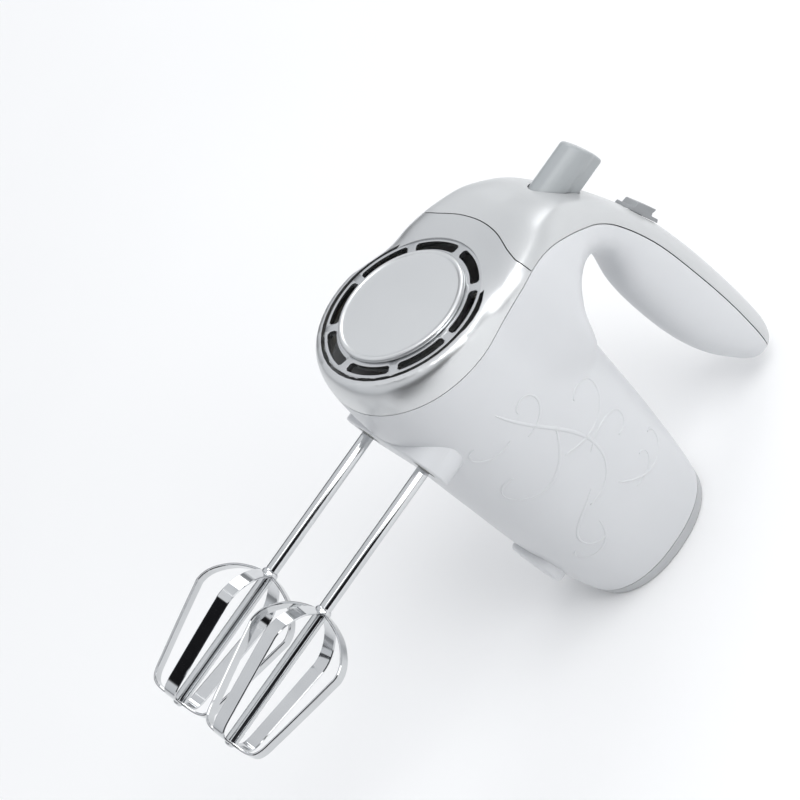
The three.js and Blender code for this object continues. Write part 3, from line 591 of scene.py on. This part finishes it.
def loft(name, stations, rows, columns, inset=0.0, crease=None):
    table = np.array(stations, float)
    at = np.linspace(0, 1, rows + 1)
    top = through(np.c_[np.zeros(len(table)), table[:, 1], table[:, 0]], at)
    bottom = through(np.c_[np.zeros(len(table)), table[:, 3], table[:, 2]], at)
    form = through(table[:, 4:7], at)
    edge = np.c_[np.zeros(rows + 1), np.full(rows + 1, 0.7)]
    if crease:
        edge = through(np.array(crease, float), at)
    angle = np.linspace(0, 2 * math.pi, columns, endpoint=False)
    points = []
    for t, b, (half, front, rear), (proud, across) in zip(top, bottom, form, edge):
        middle, up = (t + b) / 2, (t - b) / 2
        height = np.linalg.norm(up)
        up = up / height
        power = np.where(np.cos(angle) > 0, front, rear)
        side = np.sign(np.sin(angle)) * np.abs(np.sin(angle)) ** (2 / power)
        rise = np.sign(np.cos(angle)) * np.abs(np.cos(angle)) ** (2 / power)
        where = np.abs(side)
        outside = ((1 - where) / (1 - across)).clip(0) ** 1.3
        ridge = np.where(where < across, (where / across) ** 2.4, outside)
        lift = np.where(rise > 0, proud * ridge * (rise > 0) - 0.35 * proud * (1 - where).clip(0), 0)
        lift = lift * np.clip(rise * 4, 0, 1)
        ring = middle + np.outer(rise * (height - inset) + lift, up)
        ring[:, 0] = side * (half - inset)
        points.append(ring)
    points = np.concatenate(points)
    faces = []
    for r in range(rows):
        for c in range(columns):
            d = (c + 1) % columns
            faces.append((r * columns + c, r * columns + d, (r + 1) * columns + d, (r + 1) * columns + c))
    faces.append(tuple(range(columns)))
    faces.append(tuple(range((rows + 1) * columns - 1, rows * columns - 1, -1)))
    piece = object_from(name, points, faces)
    face_outwards(piece)
    return piece


def shifted(line, distance):
    moved = []
    for i, (x, y) in enumerate(line):
        ax, ay = line[max(i - 1, 0)]
        bx, by = line[min(i + 1, len(line) - 1)]
        length = math.hypot(bx - ax, by - ay)
        moved.append((x - (by - ay) / length * distance, y + (bx - ax) / length * distance))
    return moved


def smooth_line(points, steps=8):
    return [tuple(p) for p in through(points, np.linspace(0, 1, (len(points) - 1) * steps + 1))]


def blend_weights(piece, trees):
    """Weights near 1 where the skin runs close to both lofts, which is along the line where they meet."""
    group = piece.vertex_groups.new(name="join")
    for vertex in piece.data.vertices:
        away = max(tree.find_nearest(vertex.co)[3] for tree in trees) / MM
        if away < BLEND_REACH:
            group.add([vertex.index], 1 - (away / BLEND_REACH) ** 2, "REPLACE")
    return group.name


def make_outer():
    body = loft("outer", BODY, rows=90, columns=120)
    handle = loft("handle", HANDLE, rows=140, columns=96, crease=CREASE)
    graph = bpy.context.evaluated_depsgraph_get()
    trees = [BVHTree.FromObject(part, graph) for part in (body, handle)]
    combine(body, handle, "UNION")
    remesh = body.modifiers.new("remesh", "REMESH")
    remesh.mode = "VOXEL"
    remesh.voxel_size = VOXEL * MM
    apply_modifiers(body)
    blend = body.modifiers.new("blend", "SMOOTH")
    blend.factor = 0.5
    blend.iterations = BLEND_STEPS
    blend.vertex_group = blend_weights(body, trees)
    relax = body.modifiers.new("relax", "SMOOTH")
    relax.factor = 0.5
    relax.iterations = RELAX_STEPS
    apply_modifiers(body)
    body.vertex_groups.clear()
    for vertex in body.data.vertices:
        vertex.co.z = min(max(vertex.co.z, CAD_BOUNDS[0][2]), CAD_BOUNDS[1][2])
    return body


def make_inner():
    body = loft("inner", BODY, rows=24, columns=48, inset=WALL)
    handle = loft("inner_handle", HANDLE[2:], rows=30, columns=32, inset=WALL)
    return combine(body, handle, "UNION")


SEAM_LINE = smooth_line(COVER_SEAM)
NOSE_LINE = NOSE_SEAM[:2] + smooth_line(NOSE_SEAM[2:-2]) + NOSE_SEAM[-2:]


def cover_region(name):
    outline = shifted(SEAM_LINE, SEAM / 2) + [(FAR, -FAR), (FAR, FAR), (-FAR, FAR)]
    return prism(name, outline, -FAR, FAR, "x")


def housing_region(name):
    low = HEEL_DEPTH + SEAM
    outline = shifted(SEAM_LINE, -SEAM / 2) + [(low, -FAR), (low, 60), (-FAR, 60)]
    return prism(name, outline, -FAR, FAR, "x")


def nose_region(name):
    outline = shifted(NOSE_LINE, SEAM / 2) + [(-FAR, -FAR), (FAR, -FAR)]
    return prism(name, outline, 95, FAR, "z")


def above_nose_region(name):
    outline = shifted(NOSE_LINE, -SEAM / 2) + [(-FAR, -FAR), (FAR, -FAR)]
    return prism(name, outline, 95, FAR + 1, "z")


def give(piece, material, slot, body, *replaced):
    piece.data.materials.clear()
    piece.data.materials.append(material)
    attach(piece, body)
    if replaced:
        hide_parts(*replaced)
    return piece


def stadium(half, radius, steps=24):
    """A stadium outline in x and z, its straight sides along x."""
    turn = np.linspace(-math.pi / 2, math.pi / 2, steps)
    right = [(half + radius * math.cos(a), radius * math.sin(a)) for a in turn]
    left = [(-x, -y) for x, y in right]
    return right + left


def make_shells(materials):
    outer = make_outer()
    inner = make_inner()
    shell = copy_of(outer, "shell")
    combine(shell, inner, "DIFFERENCE", keep_tool=True)

    housing = copy_of(shell, "main_shell")
    boss_outline = [(x, z + SPINDLE_Z) for x, z in stadium(SPINDLE_X, BOSS_RADIUS)]
    boss = prism("boss", boss_outline, SOCKET_Y, SOCKET_Y + BOSS_DEPTH, "y")
    bevelled(boss, 0.9)
    combine(boss, inner, "DIFFERENCE", keep_tool=True)
    combine(housing, boss, "UNION")
    combine(housing, housing_region("region"), "INTERSECT")
    for side in (1, -1):
        bore = lathe("bore", [(0, SOCKET_Y - 5), (BORE_RADIUS, SOCKET_Y - 5), (BORE_RADIUS, SOCKET_Y + 20),
                              (0, SOCKET_Y + 20)], centre=(side * SPINDLE_X, 0, SPINDLE_Z))
        combine(housing, bore, "DIFFERENCE")
    sharp_by_angle(housing)
    give(housing, materials["white"], "housing_white", "housing", "main_housing")

    cover = copy_of(shell, "upper_cover")
    combine(cover, cover_region("region"), "INTERSECT")
    combine(cover, above_nose_region("region"), "DIFFERENCE")
    slot = prism("slot", button_outline(BUTTON_CLEARANCE), 66, 140, "y")
    combine(cover, slot, "DIFFERENCE")
    track = prism("track", [(-23.0, 0), (11.5, 0), (11.5, 14), (-23.0, 14)], -5.1, 5.1, "x")
    combine(cover, on_track(track), "DIFFERENCE")
    stem = prism("stem", [(-15.5, -16), (3.5, -16), (3.5, 14), (-15.5, 14)], -2.5, 2.5, "x")
    combine(cover, on_track(stem), "DIFFERENCE")
    sharp_by_angle(cover)
    give(cover, materials["silver"], "cover_silver", "housing", "top_cover")

    nose = copy_of(shell, "nose_shell")
    combine(nose, cover_region("region"), "INTERSECT")
    combine(nose, nose_region("region"), "INTERSECT")
    hole = lathe("hole", [(0, -16), (RING_HOLE, -16), (RING_HOLE, 20), (0, 20)], 160)
    combine(nose, in_ring_frame(hole), "DIFFERENCE")
    sharp_by_angle(nose)
    give(nose, materials["band"], "nose_band", "housing", "nose_cover")

    heel = copy_of(outer, "heel_shell")
    slab = prism("slab", [(-1, -60), (HEEL_DEPTH, -60), (HEEL_DEPTH, 60), (-1, 60)], -60, 60, "x")
    combine(heel, slab, "INTERSECT")
    recess = prism("recess", [(WALL + 0.4, -60), (20, -60), (20, 60), (WALL + 0.4, 60)], -60, 60, "x")
    combine(recess, inner, "INTERSECT")
    combine(heel, recess, "DIFFERENCE")
    through_heel = HEEL_DEPTH + 1
    for side in (1, -1):
        for radius, depth in ((SCREW_RADIUS, through_heel), (SCREW_HEAD_RADIUS, SCREW_HEAD_DEPTH)):
            profile = [(0, -1), (radius, -1), (radius, depth), (0, depth)]
            bore = lathe("bore", profile, 48, "z", (side * SCREW_X, 0, 0))
            combine(heel, bore, "DIFFERENCE")
    profile = [(0, -1), (INLET_RADIUS, -1), (INLET_RADIUS, through_heel), (0, through_heel)]
    bore = lathe("bore", profile, 64, "z", (0, INLET_Y, 0))
    combine(heel, bore, "DIFFERENCE")
    sharp_by_angle(heel)
    give(heel, materials["heel"], "heel_grey", "housing", "heel_cap")
    discard(shell)
    return outer


# ---- Scroll relief ----
# start (z, y), heading in degrees, length, curvature per mm at the start and the end, and the widest width
STROKES = [
    ((150, -8), 168, 95, -0.012, 0.075, 2.3), ((118, 4), 205, 62, 0.016, 0.16, 2.1),
    ((104, -2), 120, 58, -0.02, -0.17, 2.0), ((92, 6), 60, 40, 0.03, 0.24, 1.7),
    ((78, -6), 235, 44, 0.01, -0.2, 1.8), ((66, 4), 150, 46, -0.01, -0.19, 1.7),
    ((128, -6), 95, 36, -0.05, -0.26, 1.5), ((134, -12), 250, 26, 0.03, 0.3, 1.4),
    ((60, -14), 185, 34, 0.03, 0.25, 1.6), ((54, 8), 110, 24, -0.04, -0.3, 1.3),
]


def stroke_points(start, heading, length, bend, end_bend):
    z, y = start
    angle, count = math.radians(heading), 70
    step = length / count
    points = [(z, y)]
    for i in range(count):
        angle += (bend + (end_bend - bend) * (i / count) ** 1.6) * step
        z, y = z + math.cos(angle) * step, y + math.sin(angle) * step
        points.append((z, y))
    return np.array(points)


def stroke_swell(share):
    """A stroke's width, as a share of its widest: slim at first, then full, with a bead at the end."""
    bead = 0.13
    if share < 1 - bead:
        return 0.12 + 0.88 * math.sin(math.pi * min(share * 1.15, 1) ** 0.8) ** 0.6
    return 0.5 + 0.5 * math.sin(math.pi * (share - (1 - bead)) / bead)


def make_relief(materials, outer):
    """Raised lines that follow both sides of the housing, 0.26 mm proud, with their undersides in the wall."""
    tree = BVHTree.FromObject(outer, bpy.context.evaluated_depsgraph_get())
    section = [(-1, -0.6), (-0.8, 0.05), (-0.35, 0.26), (0.35, 0.26), (0.8, 0.05), (1, -0.6)]
    for name, side in SIDE.items():
        points, faces = [], []
        for start, heading, length, bend, end_bend, width in STROKES:
            line = stroke_points(start, heading, length, bend, end_bend)
            rings = []
            for i, (z, y) in enumerate(line):
                hit, normal, _, _ = tree.ray_cast(Vector((side * 80, y, z)) * MM, Vector((-side, 0, 0)))
                if hit is None:
                    break
                dz, dy = line[min(i + 1, len(line) - 1)] - line[max(i - 1, 0)]
                ahead = Vector((0, dy, dz)).normalized()
                across = normal.cross(ahead).normalized()
                share = i / (len(line) - 1)
                half = 0.5 * width * stroke_swell(share)
                rings.append([hit / MM + across * half * a + normal * b for a, b in section])
            base, count = len(points), len(section)
            points += [tuple(p) for ring in rings for p in ring]
            for r in range(len(rings) - 1):
                for c in range(count):
                    d = (c + 1) % count
                    faces.append((base + r * count + c, base + r * count + d, base + (r + 1) * count + d,
                                  base + (r + 1) * count + c))
            faces.append(tuple(base + c for c in range(count)))
            faces.append(tuple(base + len(rings) * count - 1 - c for c in range(count)))
        relief = object_from(f"scroll_relief_{name}", points, faces)
        face_outwards(relief)
        give(relief, materials["white"], "housing_white", "housing")


# ---- Controls ----
def button_outline(margin=0.0):
    """The button's section in x and z: a round front, flanks that dip in, and a narrow rounded tail."""
    radius = BUTTON_RADIUS + margin
    tail_radius = 3.1 + margin
    tail_z = BUTTON_Z - (BUTTON_LENGTH - BUTTON_RADIUS) + 3.1
    turn = np.linspace(-0.15, math.pi + 0.15, 40)
    front = [(radius * math.cos(a), BUTTON_Z + radius * math.sin(a)) for a in turn]
    tail = [(tail_radius * math.cos(a), tail_z + tail_radius * math.sin(a))
            for a in np.linspace(math.pi + 0.35, 2 * math.pi - 0.35, 10)]
    flank = [front[-1], (-radius * 0.86, BUTTON_Z - 4.6), (-tail_radius - 0.9, tail_z + 3.6), tail[0]]
    left = smooth_line(flank, 6)[1:-1]
    right = [(-x, z) for x, z in reversed(left)]
    return front + left + tail + right


def make_button(materials):
    low = BUTTON_LOW
    apex_z, dome, fillet = BUTTON_Z - 15, 52.8, 1.3

    def crown(x, z):
        return BUTTON_TOP - dome + math.sqrt(dome**2 - x**2 - (z - apex_z)**2)

    rings = [[(x, low, z) for x, z in button_outline()]]
    for lean in np.linspace(0, math.pi / 2, 7):
        inset = fillet * (1 - math.cos(lean))
        drop = -fillet + fillet * math.sin(lean)
        rings.append([(x, crown(x, z) + drop, z) for x, z in button_outline(-inset)])
    for share in (0.8, 0.55, 0.3):
        outline = button_outline(-fillet)
        shrunk = [(x * share, BUTTON_Z - 5 + (z - BUTTON_Z + 5) * share) for x, z in outline]
        rings.append([(x, crown(x, z), z) for x, z in shrunk])
    count = len(rings[0])
    points = [p for ring in rings for p in ring] + [(0, crown(0, BUTTON_Z - 5), BUTTON_Z - 5)]
    faces = []
    for r in range(len(rings) - 1):
        for c in range(count):
            d = (c + 1) % count
            faces.append((r * count + c, r * count + d, (r + 1) * count + d, (r + 1) * count + c))
    faces.append(tuple(range(count)))
    last = (len(rings) - 1) * count
    faces += [(last + c, last + (c + 1) % count, len(points) - 1) for c in range(count)]
    post = object_from("ejector_key", points, faces)
    face_outwards(post)
    profile = [(0, PLUNGER_LOW), (PLUNGER_RADIUS, PLUNGER_LOW), (PLUNGER_RADIUS, low + 1), (0, low + 1)]
    plunger = lathe("plunger", profile, 48, centre=(0, 0, BUTTON_Z - 4))
    combine(post, plunger, "UNION")
    sharp_by_angle(post, 40)
    give(post, materials["button"], "button_grey", "eject_button", "eject_button")


def make_slider(materials):
    sole = [(-10, 0.3), (10, 0.3), (9.4, 1.9), (-9.4, 1.9)]
    plate = prism("speed_key", sole, -SLIDER_HALF_WIDTH, SLIDER_HALF_WIDTH, "x")
    grip = [(6.6, 1.0), (5.4, 4.5), (4.8, 4.8), (-5.6, 5.4),
            (-6.0, 5.1), (-4.9, 3.2), (-5.1, 2.2), (-6.4, 1.0)]
    ramp = prism("ramp", grip, -SLIDER_HALF_WIDTH, SLIDER_HALF_WIDTH, "x")
    combine(plate, ramp, "UNION")
    stem = prism("stem", [(-2, -8), (2, -8), (2, 1), (-2, 1)], -2, 2, "x")
    combine(plate, stem, "UNION")
    bevelled(plate, 0.3, 2, 30)
    sharp_by_angle(on_track(plate), 40)
    give(plate, materials["slider"], "slider_grey", "speed_slider", "speed_slider")


# ---- Nose ----
def make_ring(materials):
    t = RING_THICKNESS
    profile = [(SLOT_INNER - 4, -t), (RING_RADIUS, -t), (RING_RADIUS, 0), (SLOT_INNER - 4, 0)]
    ring = lathe("vent_bezel", profile, 192)
    for i in range(SLOT_COUNT):
        start = FIRST_SLOT + i * 2 * math.pi / SLOT_COUNT
        inset = 0.03
        arc = np.linspace(start + inset, start + SLOT_SWEEP - inset, 24)
        tight = np.linspace(start, start + SLOT_SWEEP, 24)
        outline = [(SLOT_OUTER * math.cos(a), -SLOT_OUTER * math.sin(a)) for a in arc]
        outline += [((SLOT_OUTER - 1) * math.cos(tight[-1]), -(SLOT_OUTER - 1) * math.sin(tight[-1])),
                    ((SLOT_INNER + 1) * math.cos(tight[-1]), -(SLOT_INNER + 1) * math.sin(tight[-1]))]
        outline += [(SLOT_INNER * math.cos(a), -SLOT_INNER * math.sin(a)) for a in arc[::-1]]
        outline += [((SLOT_INNER + 1) * math.cos(tight[0]), -(SLOT_INNER + 1) * math.sin(tight[0])),
                    ((SLOT_OUTER - 1) * math.cos(tight[0]), -(SLOT_OUTER - 1) * math.sin(tight[0]))]
        combine(ring, prism("slot", outline, -t - 2, 2, "y"), "DIFFERENCE")
    bevelled(ring, 0.15, 2, 40)
    sharp_by_angle(in_ring_frame(ring))
    give(ring, materials["ring"], "ring_chrome", "housing", "vent_ring")


def make_badge(materials):
    r, top = BADGE_RADIUS, BADGE_PROUD
    profile = [(0, BADGE_LOW), (r - 0.3, BADGE_LOW), (r, BADGE_LOW + 0.3)]
    edge = 1.1
    quarter = np.linspace(0, math.pi / 2, 8)
    profile += [(r - edge + edge * math.cos(a), top - edge + edge * math.sin(a)) for a in quarter]
    profile += [(r - 1.5, top), (r - 1.8, top - 0.1), (r - 2.1, top - 0.45), (r - 2.4, top - 0.55)]
    dish, crown = 0.56, 0.3
    profile += [(r - 3, top - dish)]
    profile += [(x, top - dish + crown * (1 - (x / (r - 3)) ** 2)) for x in np.linspace(r - 5, 1, 14)]
    profile += [(0, top - dish + crown)]
    badge = lathe("nose_disc", profile, 160)
    sharp_by_angle(in_ring_frame(badge), 50)
    give(badge, materials["badge"], "badge_silver", "housing", "nose_badge")


def make_foot(materials, outer):
    outline = [(across, 41 + along) for along, across in stadium(2, 12, 28)]
    foot = prism("rest_pad", outline, -44.2, -36.2, "y")
    bevelled(foot, 2.2, 5, 50)
    grown = copy_of(outer, "grown")
    combine(foot, grown, "DIFFERENCE")
    sharp_by_angle(foot)
    give(foot, materials["white"], "housing_white", "housing", "bowl_rest_foot")


# ---- Beaters ----
def strip_line():
    """The middle of a strip, as (distance from the shaft's axis, y), from the collar down to the tip."""
    low = BEATER_BOTTOM
    shoulder = CAGE_TOP - CAGE_LENGTH * 0.26
    return [
        (2.4, CAGE_TOP - 1.0), (8.5, CAGE_TOP - 2.6), (CAGE_RADIUS * 0.64, CAGE_TOP - CAGE_LENGTH * 0.09),
        (CAGE_RADIUS * 0.92, shoulder + CAGE_LENGTH * 0.065), (CAGE_RADIUS, shoulder - 1.5),
        (CAGE_RADIUS - 0.7, shoulder - 6), (CAGE_CORNER + 5.6, low + 14), (CAGE_CORNER + 3.7, low + 6.4),
        (CAGE_CORNER + 1.8, low + 3.6), (CAGE_CORNER - 1.4, low + 2.3), (2.4, low + 1.9),
    ]


def make_strip(name, angle, side):
    """A flat strip with rounded edges, from the collar round the cage to the end of the shaft."""
    line = through([(x, y, 0) for x, y in strip_line()], np.linspace(0, 1, 91))[:, :2]
    ahead = np.gradient(line, axis=0)
    ahead /= np.linalg.norm(ahead, axis=1, keepdims=True)
    normal = np.c_[-ahead[:, 1], ahead[:, 0]]
    half, thick, nick = BLADE_WIDTH / 2, BLADE_THICKNESS / 2, 0.35
    section = [(half, -thick + nick), (half, thick - nick), (half - nick, thick), (-half + nick, thick),
               (-half, thick - nick), (-half, -thick + nick), (-half + nick, -thick), (half - nick, -thick)]
    points, faces = [], []
    for (x, y), (nx, ny) in zip(line, normal):
        points += [(x + nx * v, y + ny * v, u) for u, v in section]
    count = len(section)
    for r in range(len(line) - 1):
        for c in range(count):
            d = (c + 1) % count
            faces.append((r * count + c, r * count + d, (r + 1) * count + d, (r + 1) * count + c))
    faces += [tuple(range(count)), tuple(range(len(points) - 1, len(points) - 1 - count, -1))]
    strip = object_from(name, points, faces)
    face_outwards(strip)
    strip.data.transform(Matrix.Rotation(angle, 4, "Y"))
    strip.data.transform(Matrix.Translation((side * SPINDLE_X * MM, 0, SPINDLE_Z * MM)))
    return sharp_by_angle(strip, 25)


def make_beater(name, materials):
    side = SIDE[name]
    centre = (side * SPINDLE_X, 0, SPINDLE_Z)
    r, low = SHAFT_RADIUS, BEATER_BOTTOM
    profile = [(0, low), (1.3, low + 0.1), (2.1, low + 0.6), (2.5, low + 1.2), (r, low + 1.6),
               (r, CAGE_TOP - 6), (r, SHAFT_TOP - 1.6), (r - 0.3, SHAFT_TOP - 0.7), (r - 0.9, SHAFT_TOP),
               (0, SHAFT_TOP)]
    shaft = sharp_by_angle(lathe(f"beater_rod_{name}", profile, 48, centre=centre), 30)
    give(shaft, materials["chrome"], "beater_chrome", f"beater_{name}", f"beater_shaft_{name}")
    top, inner = CAGE_TOP, r + 0.05
    rings = [(inner, top - 1.6), (inner + 0.5, top - 1.6), (inner + 0.8, top - 1.1),
             (inner + 0.8, top + 0.1), (inner + 0.5, top + 0.8), (inner + 0.15, top + 1.2), (inner, top + 1.2)]
    collar = sharp_by_angle(lathe(f"beater_crimp_{name}", rings, 48, centre=centre), 30)
    give(collar, materials["chrome"], "beater_chrome", f"beater_{name}", f"beater_collar_{name}")
    for i in range(4):
        angle = BLADE_ANGLE[name] + i * math.pi / 2
        strip = make_strip(f"beater_strip_{name}_{i + 1}", angle, side)
        give(strip, materials["chrome"], "beater_chrome", f"beater_{name}", f"beater_blade_{name}_{i + 1}")


# ---- CAD nodes that stay ----
INNER_FINISH = {
    "cord_inlet_bush": "black_plastic", "capacitor": "capacitor_yellow", "ejector_plate": "nylon",
    "eject_spring": "steel", "switch_block": "black_plastic", "armature_shaft": "steel",
    "armature_core": "lamination", "commutator": "copper", "fan": "black_plastic", "worm": "steel",
    "motor_stator": "lamination", "motor_rear_bracket": "die_cast", "rear_bearing": "bearing_brass",
    "front_bearing": "bearing_brass", "gearbox_frame": "die_cast", "gearbox_top_plate": "die_cast",
    "plate_screw_front": "steel", "plate_screw_rear": "steel", "heel_screw": "steel",
    "field_coil": "copper", "brush_holder": "bearing_brass", "brush": "carbon",
    "top_bush": "bearing_brass", "low_bush": "bearing_brass", "spindle_gear": "nylon", "push_pin": "steel",
}


def finish_inner_nodes():
    materials = inner_materials()
    names = {}
    for node, finish in INNER_FINISH.items():
        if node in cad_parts:
            names[node] = finish
        else:
            names[node + "_left"] = names[node + "_right"] = finish
    for node, finish in names.items():
        mesh = bpy.data.objects[node].data
        mesh.materials.clear()
        mesh.materials.append(materials[finish])


make_camera()
make_floor()
light_the_scene()
MATERIALS = {
    "white": gloss_white(),
    "silver": satin_silver(),
    "band": bright_band(),
    "badge": brushed_badge(),
    "ring": chrome("ring_chrome_plate", 0.18, 0.24),
    "chrome": chrome("beater_chrome_plate"),
    "heel": grey_plastic("heel_grey_plastic", (0.44, 0.45, 0.46), (0.50, 0.51, 0.52)),
    "button": grey_plastic("button_grey_plastic", (0.33, 0.35, 0.36), (0.38, 0.40, 0.41), (0.28, 0.34)),
    "slider": grey_plastic("slider_grey_plastic", (0.24, 0.25, 0.26), (0.29, 0.30, 0.31)),
}
OUTER = make_shells(MATERIALS)
make_foot(MATERIALS, OUTER)
make_relief(MATERIALS, OUTER)
discard(OUTER)
make_ring(MATERIALS)
make_badge(MATERIALS)
make_button(MATERIALS)
make_slider(MATERIALS)
for beater in SIDE:
    make_beater(beater, MATERIALS)
finish_inner_nodes()
